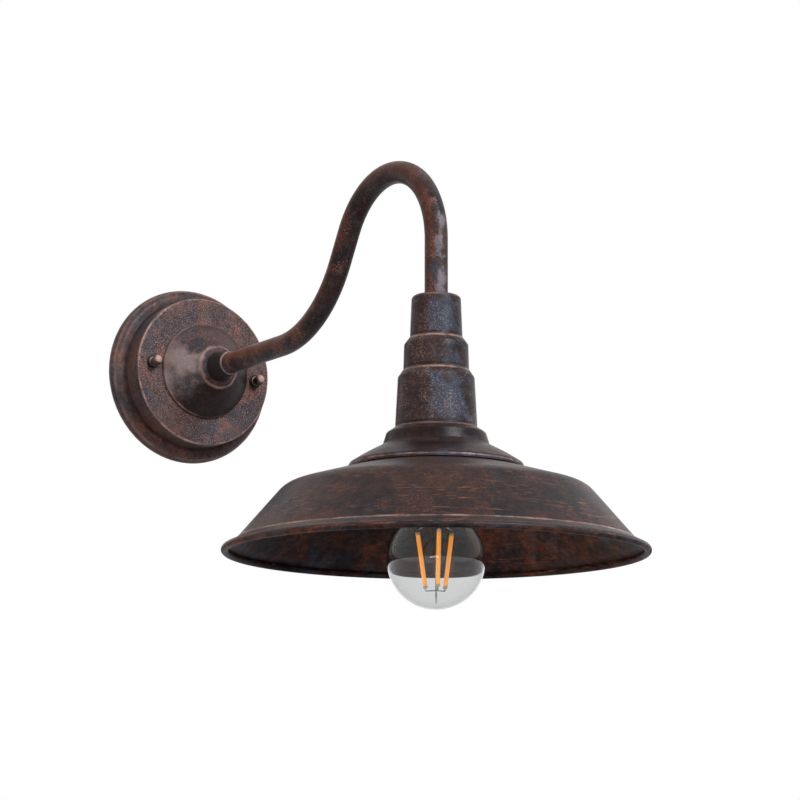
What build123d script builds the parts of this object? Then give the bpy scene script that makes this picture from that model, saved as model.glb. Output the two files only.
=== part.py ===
from build123d import *
import os
from math import cos, pi, radians, sin, tan

# Gooseneck wall sconce: round wall canopy, swan-neck tube, stepped neck, spun shade and a clear filament bulb.
# Millimetres. The origin is the centre of the canopy on the wall plane. +Z is up, and the light stands out
# from the wall along -Y.

# ---- overall -----------------------------------------------------------------------------------------
overall_height = 254.0      # top of the arch to the lower edge of the shade
shade_diameter = 255.0      # outside of the rolled rim

# ---- arm: one bent tube ------------------------------------------------------------------------------
arm_diameter = 14.2
arm_wall = 1.2
arm_run = 136.6             # wall plane to the first bend
rise_angle = 60.0           # slope of the leg between the bends
rise_bend_radius = 83.0
rise_straight = 22.5
arch_radius = 53.2
arm_inner_end = 17.0        # end of the tube inside the canopy, measured from the wall plane

# ---- canopy: one spun shell with a drum and a round foot bead ----------------------------------------
canopy_wall = 1.2
canopy_depth = 29.5         # wall plane to the front face
drum_radius = 52.4
drum_edge_round = 2.0
bead_radius = 62.1          # widest circle of the foot
bead_depth = 12.2
foot_lip_radius = 55.5      # inner edge of the lip that rests on the wall
bead_flat = 0.5             # straight strip at the widest circle
bead_root_round = 1.3

# ---- boss on the canopy ------------------------------------------------------------------------------
boss_radius = 33.2
boss_edge = 2.6             # height of its upright edge
boss_edge_round = 1.6
boss_height = 20.2          # front face of the canopy to the foot of the lip
boss_neck_radius = 14.4
boss_bulge = 0.9            # how far the flank stands out and up from a straight cone
boss_skin = 2.6
boss_crown = 4.7            # metal over the hollow, below the lip
boss_hub_radius = 14.0
boss_hub_chamfer = 1.5
lip_round = 1.75            # radius of the rolled lip
collar_seat_depth = 8.5     # floor of the socket for the collar, above the canopy's front face

# ---- collar between boss and arm ---------------------------------------------------------------------
collar_base_radius = 10.3
collar_tip_radius = 8.2
collar_length = 29.0
collar_straight = 14.5
collar_chamfer = 0.7

# ---- wall strap, studs and cap nuts ------------------------------------------------------------------
strap_length = 96.0
strap_width = 22.0
strap_thickness = 1.6
strap_corner = 5.0
wire_hole_radius = 5.5
slot_spacing = 52.0         # centre to centre of the two wall slots
slot_length = 14.0
slot_width = 4.5
stud_circle_radius = 41.0
stud_tilt = 3.5             # the stud line leans by this much, left stud up
stud_radius = 1.95
stud_end_gap = 1.0          # stud end to the bottom of the cap nut's bore
stud_hole_clearance = 0.45
hex_bevel = 0.06            # chamfer of a nut's corners as a share of its width
stud_nut_flats = 7.0
stud_nut_height = 2.4
cap_washer_radius = 4.7
cap_washer_thickness = 0.8
cap_ball_radius = 3.7
cap_ball_height = 6.3       # front face of the canopy to the ball's centre
cap_foot_radius = 3.4
cap_foot_height = 1.2
cap_foot_chamfer = 0.3
cap_neck_radius = 2.9
cap_bore_clearance = 0.06
cap_bore_depth = 6.6

# ---- parts that hold the arm in the canopy -----------------------------------------------------------
arm_hole_clearance = 0.25
arm_washer_radius = 12.0
arm_washer_thickness = 1.2
earth_lug_thickness = 0.8
earth_lug_radius = 10.6
earth_lug_tab_width = 5.0
earth_lug_reach = 16.5
arm_nut_flats = 19.0
arm_nut_height = 4.6
grommet_flange = 1.0
grommet_flange_inset = 0.2  # flange inside the outside of the tube
grommet_length = 5.0
grommet_bore_radius = 3.6

# ---- wiring ------------------------------------------------------------------------------------------
wire_radius = 1.15
wire_offset = 1.6           # the two wires lie side by side in the tube
wire_turn_radius = 4.0
tail_depth = 9.0            # distance of the tails from the wall
connector_x = 12.0
connector_top = -20.0
connector_length = 22.0
connector_mouth_radius = 5.4
connector_tip_radius = 3.4
connector_entry = 6.0       # length of wire inside a connector
connector_shoulder = 4.0
connector_tip_round = 1.2
connector_grooves = 12
connector_groove_radius = 0.9
connector_groove_depth = 0.4
tail_end_run = 7.0          # straight stretch of a tail above its connector
terminal_drop = 6.0         # wire from the nipple straight down, then aside to its terminal
terminal_jog = 3.0
terminal_turn_radius = 3.0
earth_wire_tail = 9.0       # wire straight up from the lug before it turns to the strap
earth_wire_crest_x = -4.0
earth_wire_crest_depth = 16.0
earth_wire_drop = 4.0       # crest down to the bend onto the strap
earth_turn_radius = 3.0
earth_screw_x = -12.5
earth_screw_z = 5.0
earth_screw_radius = 2.0
earth_head_radius = 3.8
earth_head_height = 2.2
earth_head_round = 0.8
driver_slot = 0.85          # width of the slots in the screw heads

# ---- neck housing: stepped spun shell ----------------------------------------------------------------
neck_wall = 1.2
neck_top_drop = 0.8         # the top is slightly domed
neck_top_radius = 14.9
tier_1_length = 25.2
tier_1_foot_radius = 15.9
tier_1_step = 4.8           # height of the sloping step under a tier
tier_2_top_radius = 19.4
tier_2_length = 15.2
tier_2_foot_radius = 19.8
tier_2_step = 5.0
tier_3_top_radius = 23.1
tier_3_length = 30.5
tier_3_foot_radius = 24.7
tier_3_step = 3.6
gallery_top_radius = 30.0
gallery_length = 7.3
gallery_foot_radius = 32.2
gallery_rise = 11.4         # foot of the gallery above the flat top of the shade
skirt_radius = 52.5
skirt_edge_height = 2.6     # upright edge of the skirt
skirt_gap = 0.3             # skirt edge to shade
skirt_bulge = 0.6           # rise of the skirt's curve above the straight slope
skirt_curve = 100.0
neck_top_round = 2.5
step_round = 2.4            # outer corners of the steps
step_cove = 1.8             # inner corners of the steps
gallery_cove = 1.8

# ---- shade: spun shell (heights above its lower edge) ------------------------------------------------
shade_wall = 0.8
shade_top_height = 54.6
shade_flat_radius = 40.5
shade_top_angle = 15.7
shade_cone_angle = 49.4
shade_flat_round = 3.0
shade_shoulder_round = 16.0
rim_width = 8.5             # outermost edge of the rim in to the crease
crease_height = 7.8
crease_round = 3.0
rim_bead_radius = 2.2
shade_hole_clearance = 0.6

# ---- parts between arm and lampholder ----------------------------------------------------------------
arm_lower_end = 130.0       # height of the tube's lower end above the shade's lower edge
bush_length = 18.5
bush_radius = 13.2
bush_gap = 0.1              # bush to the inside of the neck's top
bush_chamfer = 0.6
set_screw_drop = 10.4       # top of the neck down to the grub screw
set_screw_radius = 2.5
set_screw_proud = 0.8
set_screw_clearance = 0.2
plug_length = 12.0
nipple_radius = 4.9
nipple_bore_radius = 3.6
nipple_top = 140.0
nipple_end = 104.0
thread_clearance = 0.05
holder_nut_flats = 14.0
holder_nut_height = 4.0

# ---- lampholder --------------------------------------------------------------------------------------
holder_cap_top = 112.5
holder_cap_boss_radius = 8.5
holder_cap_boss_height = 3.5
holder_cap_shoulder = 103.5
holder_cap_wall = 2.6
holder_cap_bevel = 3.0      # slope between the cap's top and its side
holder_joint = 90.0         # height of the joint between cap and body
holder_radius = 20.3
holder_thread_radius = 20.0
holder_bottom = 42.0
holder_flange_radius = 25.0
holder_flange_thickness = 3.0
holder_seat_gap = 0.2
holder_bore_radius = 16.2
block_radius = 17.2
block_clearance = 0.15
block_bottom = 76.0
block_pocket_radius = 2.2   # the two pockets that lighten the block
block_pocket_depth = 5.0
block_pocket_y = 10.0
terminal_x = 11.0
terminal_head_radius = 3.0
terminal_head_height = 2.4
terminal_shank_radius = 1.6
terminal_shank_length = 8.0
wire_end_x = 6.6
leaf_thickness = 0.5
leaf_width = 6.0
leaf_gap = 0.2              # leaf to the bulb's tip
leaf_foot_length = 9.0      # fixed end of the leaf from the axis
leaf_bend_x = 3.5           # from here it springs down towards the tip
leaf_end_x = 3.6            # free end beyond the axis
leaf_end_lift = 1.1
leaf_nose_x = 2.2
leaf_nose_lift = 0.3

# ---- shade ring --------------------------------------------------------------------------------------
ring_clearance = 0.3
ring_height = 6.5
ring_flange_radius = 28.0
ring_flange_thickness = 1.8
ring_body_radius = 24.0
ring_notches = 16
ring_notch_radius = 1.6
ring_notch_depth = 1.2

# ---- bulb --------------------------------------------------------------------------------------------
bulb_globe_radius = 29.4
bulb_drop = 31.9            # lowest point of the glass below the shade's lower edge
bulb_length = 102.2
glass_wall = 0.7
glass_leave_angle = 36.0    # where the globe runs out into the neck
glass_neck_radius = 12.4
glass_neck_blend = 22.0
glass_in_cap = 3.2          # how far the neck reaches into the cap
cap_length = 26.5           # tip to the cap's rim
cap_rim_radius = 13.1
cap_rim_height = 3.6
cap_shoulder = 0.9          # height of the slope from the rim band to the threaded barrel
cap_crown = 1.5             # slope from the barrel in to the insulator
cap_sheet = 0.35
cap_glass_gap = 0.3
thread_core_radius = 12.35
thread_crest_radius = 13.1
thread_pitch = 3.629
thread_turns = 3.5
thread_run_in = 0.7         # plain barrel before the thread starts
thread_half_width = 1.0
thread_gap = 0.3            # between the bulb's thread and the socket's
insulator_height = 3.6
insulator_top_radius = 5.2
tip_radius = 4.0
tip_height = 1.3
tip_round = 0.9
shell_wall = 0.9            # metal outside the socket's thread grooves
shell_mouth_gap = 0.5       # rim of the bulb's cap to the socket's sleeve
stem_flare_radius = 11.0
stem_tube_radius = 3.6
stem_length = 26.0
stem_flare_height = 7.0
stem_glass = 1.0            # wall of the flare
stem_mouth_drop = 0.6       # glass neck's end to the flare's mouth
stem_pinch_radius = 2.5
stem_pinch_height = 4.0
filament_count = 3
filament_radius = 1.3
filament_top_circle = 12.0
filament_foot_circle = 6.8
filament_top = 14.5
filament_foot = -19.2
filament_heading = 244.0    # direction of the first filament from the bulb's axis, from +X towards +Y
lead_radius = 0.35
lead_turn_radius = 0.7
lead_reach = 1.6            # how far a wire runs on past a filament's end before it turns
lead_root_share = 0.16      # roots of the lead-ins on the stem, as a share of the filaments' upper circle
lead_elbow_share = 0.5
lead_elbow_drop = 2.0
centre_wire_radius = 0.6
centre_wire_root = 1.0      # how far the middle wire is sunk in the stem
centre_wire_end = -28.4
centre_wire_gap = 0.05      # middle wire to the foot wires

# ---- worked-out sizes --------------------------------------------------------------------------------
arm_radius = arm_diameter / 2
arm_bore_radius = arm_radius - arm_wall
slope = radians(rise_angle)
reach = (arm_run + rise_bend_radius * sin(slope) + rise_straight * cos(slope)
         + arch_radius * (1 + sin(slope)))
arch_top = (rise_bend_radius * (1 - cos(slope)) + rise_straight * sin(slope)
            + arch_radius * (1 - cos(slope)) + arm_radius)
rim_z = arch_top - overall_height
shade_radius = shade_diameter / 2
crease_radius = shade_radius - rim_width
gallery_foot_height = shade_top_height + gallery_rise
gallery_top_height = gallery_foot_height + gallery_length
tier_3_foot_height = gallery_top_height + tier_3_step
tier_3_top_height = tier_3_foot_height + tier_3_length
tier_2_foot_height = tier_3_top_height + tier_2_step
tier_2_top_height = tier_2_foot_height + tier_2_length
tier_1_foot_height = tier_2_top_height + tier_1_step
neck_edge_height = tier_1_foot_height + tier_1_length
neck_top_height = neck_edge_height + neck_top_drop
set_screw_height = neck_top_height - set_screw_drop
canopy_back_face = canopy_depth - canopy_wall
tip_height_above_rim = bulb_length - bulb_drop
cap_rim = tip_height_above_rim - cap_length
thread_start = cap_rim + cap_rim_height + cap_shoulder + thread_run_in
shell_bottom = cap_rim + cap_rim_height + cap_shoulder + shell_mouth_gap
stem_mouth = cap_rim + glass_in_cap - stem_mouth_drop
stem_foot = stem_mouth - stem_length
holder_flange_bottom = shade_top_height + holder_seat_gap
ring_top = shade_top_height - shade_wall - holder_seat_gap
arm_bore_in_canopy = arm_radius + arm_hole_clearance
cap_seat = canopy_depth + cap_washer_thickness + 2 * thread_clearance
stud_end = cap_seat + cap_bore_depth - stud_end_gap

from_wall = Rot(90, 0, 0)                  # local +Z points away from the wall, local +Y is up
at_head = Pos(0, -reach, rim_z)            # local z is the height above the shade's lower edge
arm_plane = Plane(origin=(0, 0, 0), x_dir=(0, -1, 0), z_dir=(-1, 0, 0))


# ---- helpers -----------------------------------------------------------------------------------------
def turned(points):
    """Solid of revolution about Z of a closed outline given as (radius, height)."""
    return revolve(Plane.XZ * make_face(Polyline(*points, close=True)), Axis.Z)


def spun(points, rounds, wall):
    """Sheet of even thickness turned about Z; the points run outward and down the outside."""
    outside = FilletPolyline(*points, radius=rounds)
    sheet = make_face(offset(outside, amount=wall, side=Side.RIGHT, closed=True))
    return revolve(Plane.XZ * sheet, Axis.Z)


def ring(outer, inner, bottom, top):
    """Flat ring or sleeve about Z between two heights."""
    blank = Pos(0, 0, bottom) * Cylinder(outer, top - bottom, align=(Align.CENTER, Align.CENTER, Align.MIN))
    return blank - rod(inner, bottom - 1, top + 1)


def rod(radius, bottom, top):
    return Pos(0, 0, bottom) * Cylinder(radius, top - bottom, align=(Align.CENTER, Align.CENTER, Align.MIN))


def hex_nut(flats, bore, bottom, top):
    """Hexagon nut with chamfered corners."""
    corner = flats / 2 / cos(pi / 6)
    blank = Pos(0, 0, bottom) * extrude(RegularPolygon(corner, 6), top - bottom)
    barrel = chamfer(rod(corner, bottom, top).edges().filter_by(GeomType.CIRCLE), hex_bevel * flats)
    return (blank & barrel) - rod(bore, bottom - 1, top + 1)


def bent_rod(points, radius, turn):
    """Round wire along straight runs with rounded corners."""
    route = FilletPolyline(*points, radius=turn)
    section = Plane(origin=route @ 0, z_dir=route % 0) * Circle(radius)
    return sweep(section, path=route)


def arm_route(start, end_height, plane):
    """Centre line of the arm in the given plane, from the wall side to the lower end."""
    run = Line((start, 0), (arm_run, 0))
    rise = JernArc(run @ 1, run % 1, rise_bend_radius, rise_angle)
    leg = PolarLine(rise @ 1, rise_straight, direction=rise % 1)
    arch = JernArc(leg @ 1, leg % 1, arch_radius, -(90 + rise_angle))
    drop = Line(arch @ 1, (reach, rim_z + end_height))
    return plane * Wire([run.edge(), rise.edge(), leg.edge(), arch.edge(), drop.edge()])


def along_arm(radius, start, end_height, plane=arm_plane):
    route = arm_route(start, end_height, plane)
    section = Plane(origin=route @ 0, z_dir=route % 0) * Circle(radius)
    return sweep(section, path=route)


def helix_thread(radius, reach_out, half_width, bottom, turns):
    """Round-crested thread: an elliptic section swept along a helix."""
    line = Helix(pitch=thread_pitch, height=turns * thread_pitch, radius=radius)
    section = Plane(origin=line @ 0, x_dir=(1, 0, 0), z_dir=line % 0) * Ellipse(reach_out, half_width)
    return Pos(0, 0, bottom) * sweep(section, path=line, is_frenet=True)


def stud_places():
    """Left and right stud centres as (x, z)."""
    dx = stud_circle_radius * cos(radians(stud_tilt))
    dz = stud_circle_radius * sin(radians(stud_tilt))
    return (-dx, dz), (dx, -dz)


# ---- wall side ---------------------------------------------------------------------------------------
def mounting_strap():
    blank = extrude(RectangleRounded(strap_length, strap_width, strap_corner), strap_thickness)
    blank -= rod(wire_hole_radius, -1, strap_thickness + 1)
    for side in (-1, 1):
        slot = extrude(SlotOverall(slot_length, slot_width), strap_thickness + 2)
        blank -= Pos(side * slot_spacing / 2, 0, -1) * slot
    for x, z in stud_places():
        blank -= Pos(x, z, 0) * rod(stud_radius + thread_clearance, -1, strap_thickness + 1)
    blank -= Pos(earth_screw_x, earth_screw_z, 0) * rod(earth_screw_radius + thread_clearance, -1, 9)
    return from_wall * blank


def canopy_studs():
    return [from_wall * (Pos(x, z, 0) * rod(stud_radius, 0, stud_end)) for x, z in stud_places()]


def stud_nuts():
    nut = hex_nut(stud_nut_flats, stud_radius + thread_clearance, strap_thickness,
                  strap_thickness + stud_nut_height)
    return [from_wall * (Pos(x, z, 0) * nut) for x, z in stud_places()]


def earth_screw():
    base = strap_thickness + 2 * wire_radius
    screw = rod(earth_screw_radius, 0, base + earth_head_height / 2)
    head = rod(earth_head_radius, base, base + earth_head_height)
    head = fillet(head.edges().group_by(Axis.Z)[-1], earth_head_round)
    slot = Pos(0, 0, base + earth_head_height) * Box(3 * earth_head_radius, driver_slot, earth_head_height)
    return from_wall * (Pos(earth_screw_x, earth_screw_z, 0) * (screw + head - slot))


def canopy():
    bead_round = (bead_depth - bead_flat) / 2
    shell = spun([(arm_bore_in_canopy, canopy_depth), (drum_radius, canopy_depth), (drum_radius, bead_depth),
                  (bead_radius, bead_depth), (bead_radius, 0), (foot_lip_radius, 0)],
                 [drum_edge_round, bead_root_round, bead_round, bead_round], canopy_wall)
    for x, z in stud_places():
        shell -= Pos(x, z, 0) * rod(stud_radius + stud_hole_clearance, canopy_back_face - 1, canopy_depth + 1)
    return from_wall * shell


def boss():
    """Domed boss, hollow round a central hub, with a rolled lip round the collar's socket."""
    base = canopy_depth
    neck = base + boss_height
    edge = base + boss_edge
    middle = ((boss_radius + boss_neck_radius) / 2 + boss_bulge, (edge + neck) / 2 + boss_bulge)
    flank = ThreePointArc((boss_radius, edge), middle, (boss_neck_radius, neck))
    outline = Polyline((boss_neck_radius, neck), (0, neck), (0, base), (boss_radius, base), (boss_radius, edge))
    body = revolve(Plane.XZ * make_face(flank + outline), Axis.Z)
    shoulder = [e for e in body.edges().filter_by(GeomType.CIRCLE) if abs(e.center().Z - edge) < 0.01]
    body = fillet(shoulder, boss_edge_round)
    lip_centre = boss_neck_radius - lip_round
    body += Pos(0, 0, neck) * Torus(lip_centre, lip_round)
    body += rod(lip_centre, neck - 0.5, neck + lip_round)
    hollow_top = neck - boss_crown - boss_hub_chamfer
    hollow = turned([(boss_hub_radius, base - 1), (boss_radius - boss_skin, base - 1),
                     (boss_radius - boss_skin, edge), (boss_hub_radius + boss_hub_chamfer, hollow_top),
                     (boss_hub_radius, hollow_top)])
    body -= hollow
    body -= rod(arm_bore_in_canopy, base - 1, neck)
    body -= rod(collar_base_radius + thread_clearance, base + collar_seat_depth, neck + lip_round + 1)
    return from_wall * body


def arm_collar():
    foot = canopy_depth + collar_seat_depth
    tip = foot + collar_length
    body = turned([(arm_radius + thread_clearance, foot), (collar_base_radius, foot),
                   (collar_base_radius, foot + collar_straight), (collar_tip_radius, tip - collar_chamfer),
                   (collar_tip_radius - collar_chamfer, tip), (arm_radius + thread_clearance, tip)])
    return from_wall * body


def arm():
    tube = along_arm(arm_radius, arm_inner_end, arm_lower_end)
    bore = along_arm(arm_bore_radius, arm_inner_end - 1, arm_lower_end - 1)
    return tube - bore


def arm_washer():
    top = canopy_back_face
    return from_wall * ring(arm_washer_radius, arm_radius + thread_clearance, top - arm_washer_thickness, top)


def earth_lug():
    top = canopy_back_face - arm_washer_thickness
    bottom = top - earth_lug_thickness
    plate = rod(earth_lug_radius, bottom, top)
    tab = Pos(0, earth_lug_reach / 2, (bottom + top) / 2) * Box(earth_lug_tab_width, earth_lug_reach,
                                                              earth_lug_thickness)
    return from_wall * (plate + tab - rod(arm_radius + thread_clearance, bottom - 1, top + 1))


def arm_nut():
    top = canopy_back_face - arm_washer_thickness - earth_lug_thickness
    return from_wall * hex_nut(arm_nut_flats, arm_radius + thread_clearance, top - arm_nut_height, top)


def wire_grommet():
    """Plastic bush that keeps the wires off the tube's sharp end."""
    flange = rod(arm_radius - grommet_flange_inset, arm_inner_end - grommet_flange, arm_inner_end)
    sleeve = rod(arm_bore_radius - thread_clearance, arm_inner_end, arm_inner_end + grommet_length)
    bore = rod(grommet_bore_radius, arm_inner_end - grommet_flange - 1, arm_inner_end + grommet_length + 1)
    return from_wall * (flange + sleeve - bore)


def cap_washer(side):
    x, z = stud_places()[side]
    washer = ring(cap_washer_radius, stud_radius + cap_bore_clearance, canopy_depth + thread_clearance,
                  canopy_depth + thread_clearance + cap_washer_thickness)
    return from_wall * (Pos(x, z, 0) * washer)


def cap_nut(side):
    """Ball-headed blind nut on a short foot."""
    x, z = stud_places()[side]
    centre = canopy_depth + cap_ball_height
    nut = rod(cap_foot_radius, cap_seat, cap_seat + cap_foot_height)
    nut = chamfer(nut.edges().group_by(Axis.Z)[-1], cap_foot_chamfer)
    nut += rod(cap_neck_radius, cap_seat, centre)
    nut += Pos(0, 0, centre) * Sphere(cap_ball_radius)
    nut -= rod(stud_radius + cap_bore_clearance, cap_seat - 3, cap_seat + cap_bore_depth)
    nut -= rod(2 * cap_ball_radius, cap_seat - 2 * cap_ball_radius, cap_seat)
    return from_wall * (Pos(x, z, 0) * nut)


# ---- wiring ------------------------------------------------------------------------------------------
def supply_wire(side):
    """One insulated wire: tail in the canopy, run through the arm, end at its lampholder terminal."""
    x = side * wire_offset
    plane = Plane(origin=(x, 0, 0), x_dir=(0, -1, 0), z_dir=(-1, 0, 0))
    aside = side * connector_x
    tail_end = connector_top + tail_end_run
    tail = bent_rod([(x, 0, arm_inner_end), (x, 0, tail_depth), (aside, tail_end, tail_depth),
                     (aside, connector_top - connector_entry, tail_depth)],
                    wire_radius, wire_turn_radius)
    core = along_arm(wire_radius, arm_inner_end, nipple_end, plane)
    bend = nipple_end - terminal_drop
    end = bent_rod([(x, 0, nipple_end), (x, 0, bend), (side * wire_end_x, 0, bend - terminal_jog),
                    (side * wire_end_x, 0, holder_joint)], wire_radius, terminal_turn_radius)
    return from_wall * tail + core + at_head * end


def wire_connectors():
    """Twist-on connectors over the tails' ends."""
    shapes = []
    groove_circle = connector_mouth_radius + connector_groove_radius - connector_groove_depth
    for side in (-1, 1):
        body = turned([(0, -connector_length), (connector_tip_radius, -connector_length),
                       (connector_mouth_radius, -connector_shoulder), (connector_mouth_radius, 0), (0, 0)])
        body = fillet(body.edges().group_by(Axis.Z)[0], connector_tip_round)
        for k in range(connector_grooves):
            groove = rod(connector_groove_radius, 1 - connector_length, -connector_shoulder / 2)
            body -= Rot(0, 0, 360 / connector_grooves * k) * (Pos(groove_circle, 0, 0) * groove)
        body -= rod(wire_radius + thread_clearance, -connector_entry, 1)
        stand = Pos(side * connector_x, -tail_depth, connector_top)
        shapes.append(stand * body)
    return shapes


def earth_wire():
    """From the lug on the arm's nut to the earth screw on the strap."""
    lug_z = canopy_back_face - arm_washer_thickness - earth_lug_thickness / 2
    bend_depth = strap_thickness + wire_radius
    crest = earth_lug_reach + earth_wire_tail
    screw_side = earth_screw_z + earth_screw_radius + wire_radius
    path = [(0, earth_lug_reach, lug_z), (0, crest, lug_z),
            (earth_wire_crest_x, crest + 1, earth_wire_crest_depth),
            (earth_screw_x, crest + 1 - earth_wire_drop, bend_depth), (earth_screw_x, screw_side, bend_depth)]
    return from_wall * bent_rod(path, wire_radius, earth_turn_radius)


# ---- neck --------------------------------------------------------------------------------------------
def shade_surface(radius):
    """Height of the shade's sloping top at a radius."""
    return shade_top_height - (radius - shade_flat_radius) * tan(radians(shade_top_angle))


def neck_housing():
    edge = shade_surface(skirt_radius - neck_wall) + skirt_gap
    shoulder = edge + skirt_edge_height
    middle = ((gallery_foot_radius + skirt_radius) / 2, (gallery_foot_height + shoulder) / 2 + skirt_bulge)
    shell = spun([(arm_radius + arm_hole_clearance, neck_top_height),
                  (neck_top_radius, neck_edge_height),
                  (tier_1_foot_radius, tier_1_foot_height), (tier_2_top_radius, tier_2_top_height),
                  (tier_2_foot_radius, tier_2_foot_height), (tier_3_top_radius, tier_3_top_height),
                  (tier_3_foot_radius, tier_3_foot_height), (gallery_top_radius, gallery_top_height),
                  (gallery_foot_radius, gallery_foot_height), middle, (skirt_radius, shoulder),
                  (skirt_radius, edge)],
                 [neck_top_round, step_cove, step_round, step_cove, step_round, step_cove, step_round,
                  gallery_cove, skirt_curve, step_round], neck_wall)
    hole = rod(set_screw_radius + set_screw_clearance, arm_radius, tier_1_foot_radius + 1)
    return at_head * (shell - Pos(0, 0, set_screw_height) * (Rot(-90, 0, 0) * hole))


def neck_bush():
    top = neck_edge_height - neck_wall - bush_gap
    body = ring(bush_radius, arm_radius + thread_clearance, top - bush_length, top)
    body = chamfer(body.edges().filter_by(GeomType.CIRCLE).sort_by(SortBy.RADIUS)[-2:], bush_chamfer)
    hole = rod(set_screw_radius + thread_clearance, 0, bush_radius + 1)
    return at_head * (body - Pos(0, 0, set_screw_height) * (Rot(-90, 0, 0) * hole))


def wall_radius_at(height):
    """Outside radius of the top tier at a height."""
    share = (neck_edge_height - height) / tier_1_length
    return neck_top_radius + (tier_1_foot_radius - neck_top_radius) * share


def neck_set_screw():
    """Slotted grub screw on the wall side of the neck, bearing on the arm."""
    end = wall_radius_at(set_screw_height) + set_screw_proud
    body = rod(set_screw_radius, arm_radius, end)
    body = chamfer(body.edges().group_by(Axis.Z)[-1], set_screw_proud / 2)
    body -= Pos(0, 0, end) * Box(driver_slot, 3 * set_screw_radius, set_screw_radius)
    return at_head * (Pos(0, 0, set_screw_height) * (Rot(-90, 0, 0) * body))


def arm_end_plug():
    return at_head * ring(arm_bore_radius - thread_clearance, nipple_radius + thread_clearance,
                          arm_lower_end, arm_lower_end + plug_length)


def head_nipple():
    return at_head * ring(nipple_radius, nipple_bore_radius, nipple_end, nipple_top)


def holder_nut():
    return at_head * hex_nut(holder_nut_flats, nipple_radius + thread_clearance, holder_cap_top,
                             holder_cap_top + holder_nut_height)


# ---- lampholder --------------------------------------------------------------------------------------
def lampholder_cap():
    inner = holder_radius - holder_cap_wall
    crown = holder_cap_top - holder_cap_boss_height
    bore = nipple_radius + thread_clearance
    return at_head * turned([(bore, holder_cap_top), (holder_cap_boss_radius, holder_cap_top),
                             (holder_cap_boss_radius, crown),
                             (holder_radius - holder_cap_bevel, holder_cap_shoulder),
                             (holder_radius, holder_cap_shoulder - holder_cap_bevel),
                             (holder_radius, holder_joint), (inner, holder_joint),
                             (inner, holder_cap_shoulder - 1.3 * holder_cap_bevel),
                             (inner - holder_cap_bevel, holder_cap_shoulder - holder_cap_wall),
                             (bore, crown - holder_cap_wall)])


def lampholder_body():
    seat = block_radius + block_clearance
    flange_top = holder_flange_bottom + holder_flange_thickness
    return at_head * turned([(holder_radius, holder_joint), (holder_radius, flange_top),
                             (holder_flange_radius, flange_top), (holder_flange_radius, holder_flange_bottom),
                             (holder_thread_radius, holder_flange_bottom),
                             (holder_thread_radius, holder_bottom),
                             (holder_bore_radius, holder_bottom), (holder_bore_radius, block_bottom),
                             (seat, block_bottom), (seat, holder_joint)])


def contact_block():
    """Ceramic puck that carries the screw shell, the leaf and both terminals."""
    body = rod(block_radius, block_bottom, holder_joint)
    shank_foot = holder_joint - terminal_shank_length
    for side in (-1, 1):
        shank = rod(terminal_shank_radius + thread_clearance, shank_foot, holder_joint + 1)
        body -= Pos(side * terminal_x, 0, 0) * shank
        pocket = rod(block_pocket_radius, holder_joint - block_pocket_depth, holder_joint + 1)
        body -= Pos(0, side * block_pocket_y, 0) * pocket
    return at_head * body


def terminal_screws():
    screws = []
    for side in (-1, 1):
        screw = rod(terminal_shank_radius, holder_joint - terminal_shank_length, holder_joint + 0.5)
        head = rod(terminal_head_radius, holder_joint, holder_joint + terminal_head_height)
        top = holder_joint + terminal_head_height
        head -= Pos(0, 0, top) * Box(3 * terminal_head_radius, driver_slot, terminal_head_height)
        screws.append(at_head * (Pos(side * terminal_x, 0, 0) * (screw + head)))
    return screws


def screw_shell():
    """Brass socket sleeve with the female thread cut as a helix."""
    outer = thread_crest_radius + thread_gap + shell_wall
    turns_below = 2
    turns = int((block_bottom - shell_bottom) / thread_pitch) + 3
    groove = helix_thread(thread_core_radius, thread_crest_radius - thread_core_radius + thread_gap,
                          thread_half_width + thread_gap, thread_start - turns_below * thread_pitch, turns)
    tap = rod(thread_core_radius + thread_gap, shell_bottom - 20, block_bottom + 20) + groove
    return at_head * (rod(outer, shell_bottom, block_bottom) - tap)


def centre_contact():
    tip = tip_height_above_rim + leaf_gap
    under = block_bottom - leaf_thickness
    leaf = Polyline((leaf_foot_length, under), (leaf_bend_x, under), (-leaf_nose_x, tip + leaf_nose_lift),
                    (-leaf_end_x, tip + leaf_end_lift))
    sheet = make_face(offset(leaf, amount=leaf_thickness, side=Side.RIGHT, closed=True))
    strip = extrude(Plane.XZ * sheet, leaf_width / 2, both=True)
    return at_head * strip


# ---- shade -------------------------------------------------------------------------------------------
def shade():
    flat_tan = tan(radians(shade_top_angle))
    cone_tan = tan(radians(shade_cone_angle))
    rise = crease_height + crease_radius * cone_tan - shade_top_height - shade_flat_radius * flat_tan
    shoulder_r = rise / (cone_tan - flat_tan)
    bead_r = shade_radius - rim_bead_radius
    shell = spun([(holder_thread_radius + shade_hole_clearance, shade_top_height),
                  (shade_flat_radius, shade_top_height), (shoulder_r, shade_surface(shoulder_r)),
                  (crease_radius, crease_height), (bead_r, 2 * rim_bead_radius)],
                 [shade_flat_round, shade_shoulder_round, crease_round], shade_wall)
    bead = Pos(0, 0, rim_bead_radius) * Torus(bead_r, rim_bead_radius)
    return at_head * (shell + bead)


def shade_ring():
    """Threaded ring that clamps the shade up against the lampholder's flange."""
    bore = holder_thread_radius + ring_clearance
    body = ring(ring_flange_radius, bore, ring_top - ring_flange_thickness, ring_top)
    body += ring(ring_body_radius, bore, ring_top - ring_height, ring_top - ring_flange_thickness)
    notch = rod(ring_notch_radius, ring_top - ring_height - 1, ring_top + 1)
    notch_circle = ring_flange_radius + ring_notch_radius - ring_notch_depth
    for k in range(ring_notches):
        body -= Rot(0, 0, 360 / ring_notches * k) * (Pos(notch_circle, 0, 0) * notch)
    return at_head * body


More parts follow.
